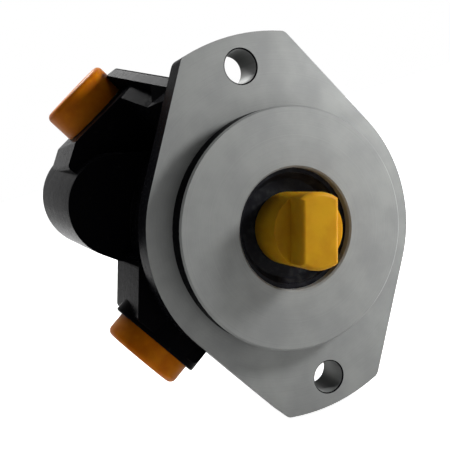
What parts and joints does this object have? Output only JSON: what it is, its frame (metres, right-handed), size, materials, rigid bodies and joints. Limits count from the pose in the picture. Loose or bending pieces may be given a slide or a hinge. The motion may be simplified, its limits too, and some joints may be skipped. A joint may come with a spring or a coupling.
{
  "type": "hydraulic vane pump",
  "caption": "Hydraulic vane pump with a bolted pilot flange, tang drive, side suction and pressure ports closed by transport caps, and a built-in flow-control valve.",
  "frame": {"origin": "centre of the flange's mounting face, on the shaft axis", "axes": "-Y out of the shaft end, +Y into the pump body, +Z from the shaft axis through the upper bolt hole, +X to the right seen from the shaft end"},
  "size_m": [0.1114, 0.1348, 0.1398],
  "materials": {
    "black_casting": "gloss black paint, mounting faces machined bare",
    "machined_iron": "machined",
    "plated_steel": "zinc plated",
    "black_rubber": "moulded",
    "spring_steel": "phosphated",
    "bearing_steel": "polished",
    "cage_steel": "pressed",
    "ground_steel": "ground",
    "bronze": "plain",
    "orange_plastic": "translucent, satin",
    "yellow_plastic": "translucent, satin"
  },
  "bodies": {
    "housing": {"pump_housing": "black_casting", "bearing_outer_race": "bearing_steel", "bearing_retaining_ring": "spring_steel", "cam_ring": "ground_steel", "dowel_pins": "ground_steel", "front_side_plate": "ground_steel", "pressure_plate": "ground_steel", "pressure_plate_o_ring": "black_rubber", "pressure_plate_spring": "spring_steel", "rear_bush": "bronze", "rear_cover": "machined_iron", "rear_cover_o_ring": "black_rubber", "rear_cover_retaining_ring": "spring_steel", "seal_case": "plated_steel", "seal_garter_spring": "spring_steel", "seal_lip": "black_rubber", "valve_plug": "plated_steel", "valve_plug_o_ring": "black_rubber", "valve_spring": "spring_steel"},
    "shaft": {"drive_shaft": "ground_steel", "bearing_inner_race": "bearing_steel", "shaft_snap_ring": "spring_steel", "rotor": "ground_steel", "rotor_snap_ring": "spring_steel"},
    "cage": {"bearing_cage": "cage_steel", "bearing_balls": "bearing_steel"},
    "spool": {"valve_spool": "ground_steel"},
    "pressure_cap": {"pressure_port_cap": "orange_plastic"},
    "suction_cap": {"suction_port_cap": "orange_plastic"},
    "shaft_cap": {"shaft_cap": "yellow_plastic"},
    "vane_01": {"vane_01": "ground_steel"},
    "vane_02": {"vane_02": "ground_steel"},
    "vane_03": {"vane_03": "ground_steel"},
    "vane_04": {"vane_04": "ground_steel"},
    "vane_05": {"vane_05": "ground_steel"},
    "vane_06": {"vane_06": "ground_steel"},
    "vane_07": {"vane_07": "ground_steel"},
    "vane_08": {"vane_08": "ground_steel"},
    "vane_09": {"vane_09": "ground_steel"},
    "vane_10": {"vane_10": "ground_steel"}
  },
  "joints": [
    {"name": "shaft_spin", "type": "hinge", "parent": "housing", "child": "shaft", "pos_m": [0, 0, 0], "axis": [0, 1, 0], "continuous": true},
    {"name": "cage_spin", "type": "hinge", "parent": "housing", "child": "cage", "pos_m": [0, 0, 0], "axis": [0, 1, 0], "continuous": true},
    {"name": "vane_01_slide", "type": "slide", "parent": "shaft", "child": "vane_01", "axis": [1, 0, 0], "range_m": [-0.0007, 0.00187]},
    {"name": "vane_02_slide", "type": "slide", "parent": "shaft", "child": "vane_02", "axis": [0.809, 0, 0.5878], "range_m": [-0.0007, 0.00247]},
    {"name": "vane_03_slide", "type": "slide", "parent": "shaft", "child": "vane_03", "axis": [0.309, 0, 0.9511], "range_m": [-0.0007, 0.00138]},
    {"name": "vane_04_slide", "type": "slide", "parent": "shaft", "child": "vane_04", "axis": [-0.309, 0, 0.9511], "range_m": [-0.0007, 0.000108]},
    {"name": "vane_05_slide", "type": "slide", "parent": "shaft", "child": "vane_05", "axis": [-0.809, 0, 0.5878], "range_m": [-0.0007, 0.00041]},
    {"name": "vane_06_slide", "type": "slide", "parent": "shaft", "child": "vane_06", "axis": [-1, 0, 0], "range_m": [-0.0007, 0.00187]},
    {"name": "vane_07_slide", "type": "slide", "parent": "shaft", "child": "vane_07", "axis": [-0.809, 0, -0.5878], "range_m": [-0.0007, 0.00247]},
    {"name": "vane_08_slide", "type": "slide", "parent": "shaft", "child": "vane_08", "axis": [-0.309, 0, -0.9511], "range_m": [-0.0007, 0.00138]},
    {"name": "vane_09_slide", "type": "slide", "parent": "shaft", "child": "vane_09", "axis": [0.309, 0, -0.9511], "range_m": [-0.0007, 0.000108]},
    {"name": "vane_10_slide", "type": "slide", "parent": "shaft", "child": "vane_10", "axis": [0.809, 0, -0.5878], "range_m": [-0.0007, 0.00041]},
    {"name": "spool_slide", "type": "slide", "parent": "housing", "child": "spool", "axis": [0, -1, 0], "range_m": [0, 0.007], "stiffness_N_per_m": 3000, "springref_m": -0.005, "deforming": ["valve_spring"]},
    {"name": "pressure_cap_pull", "type": "slide", "parent": "housing", "child": "pressure_cap", "axis": [-0.5, 0, 0.866], "range_m": [0, 0.04]},
    {"name": "suction_cap_pull", "type": "slide", "parent": "housing", "child": "suction_cap", "axis": [-0.866, 0, -0.5], "range_m": [0, 0.04]},
    {"name": "shaft_cap_pull", "type": "slide", "parent": "shaft", "child": "shaft_cap", "axis": [0, -1, 0], "range_m": [0, 0.04]}
  ],
  "couplings": [
    {"joint": "cage_spin", "follows": "shaft_spin", "ratio": 0.3815}
  ]
}
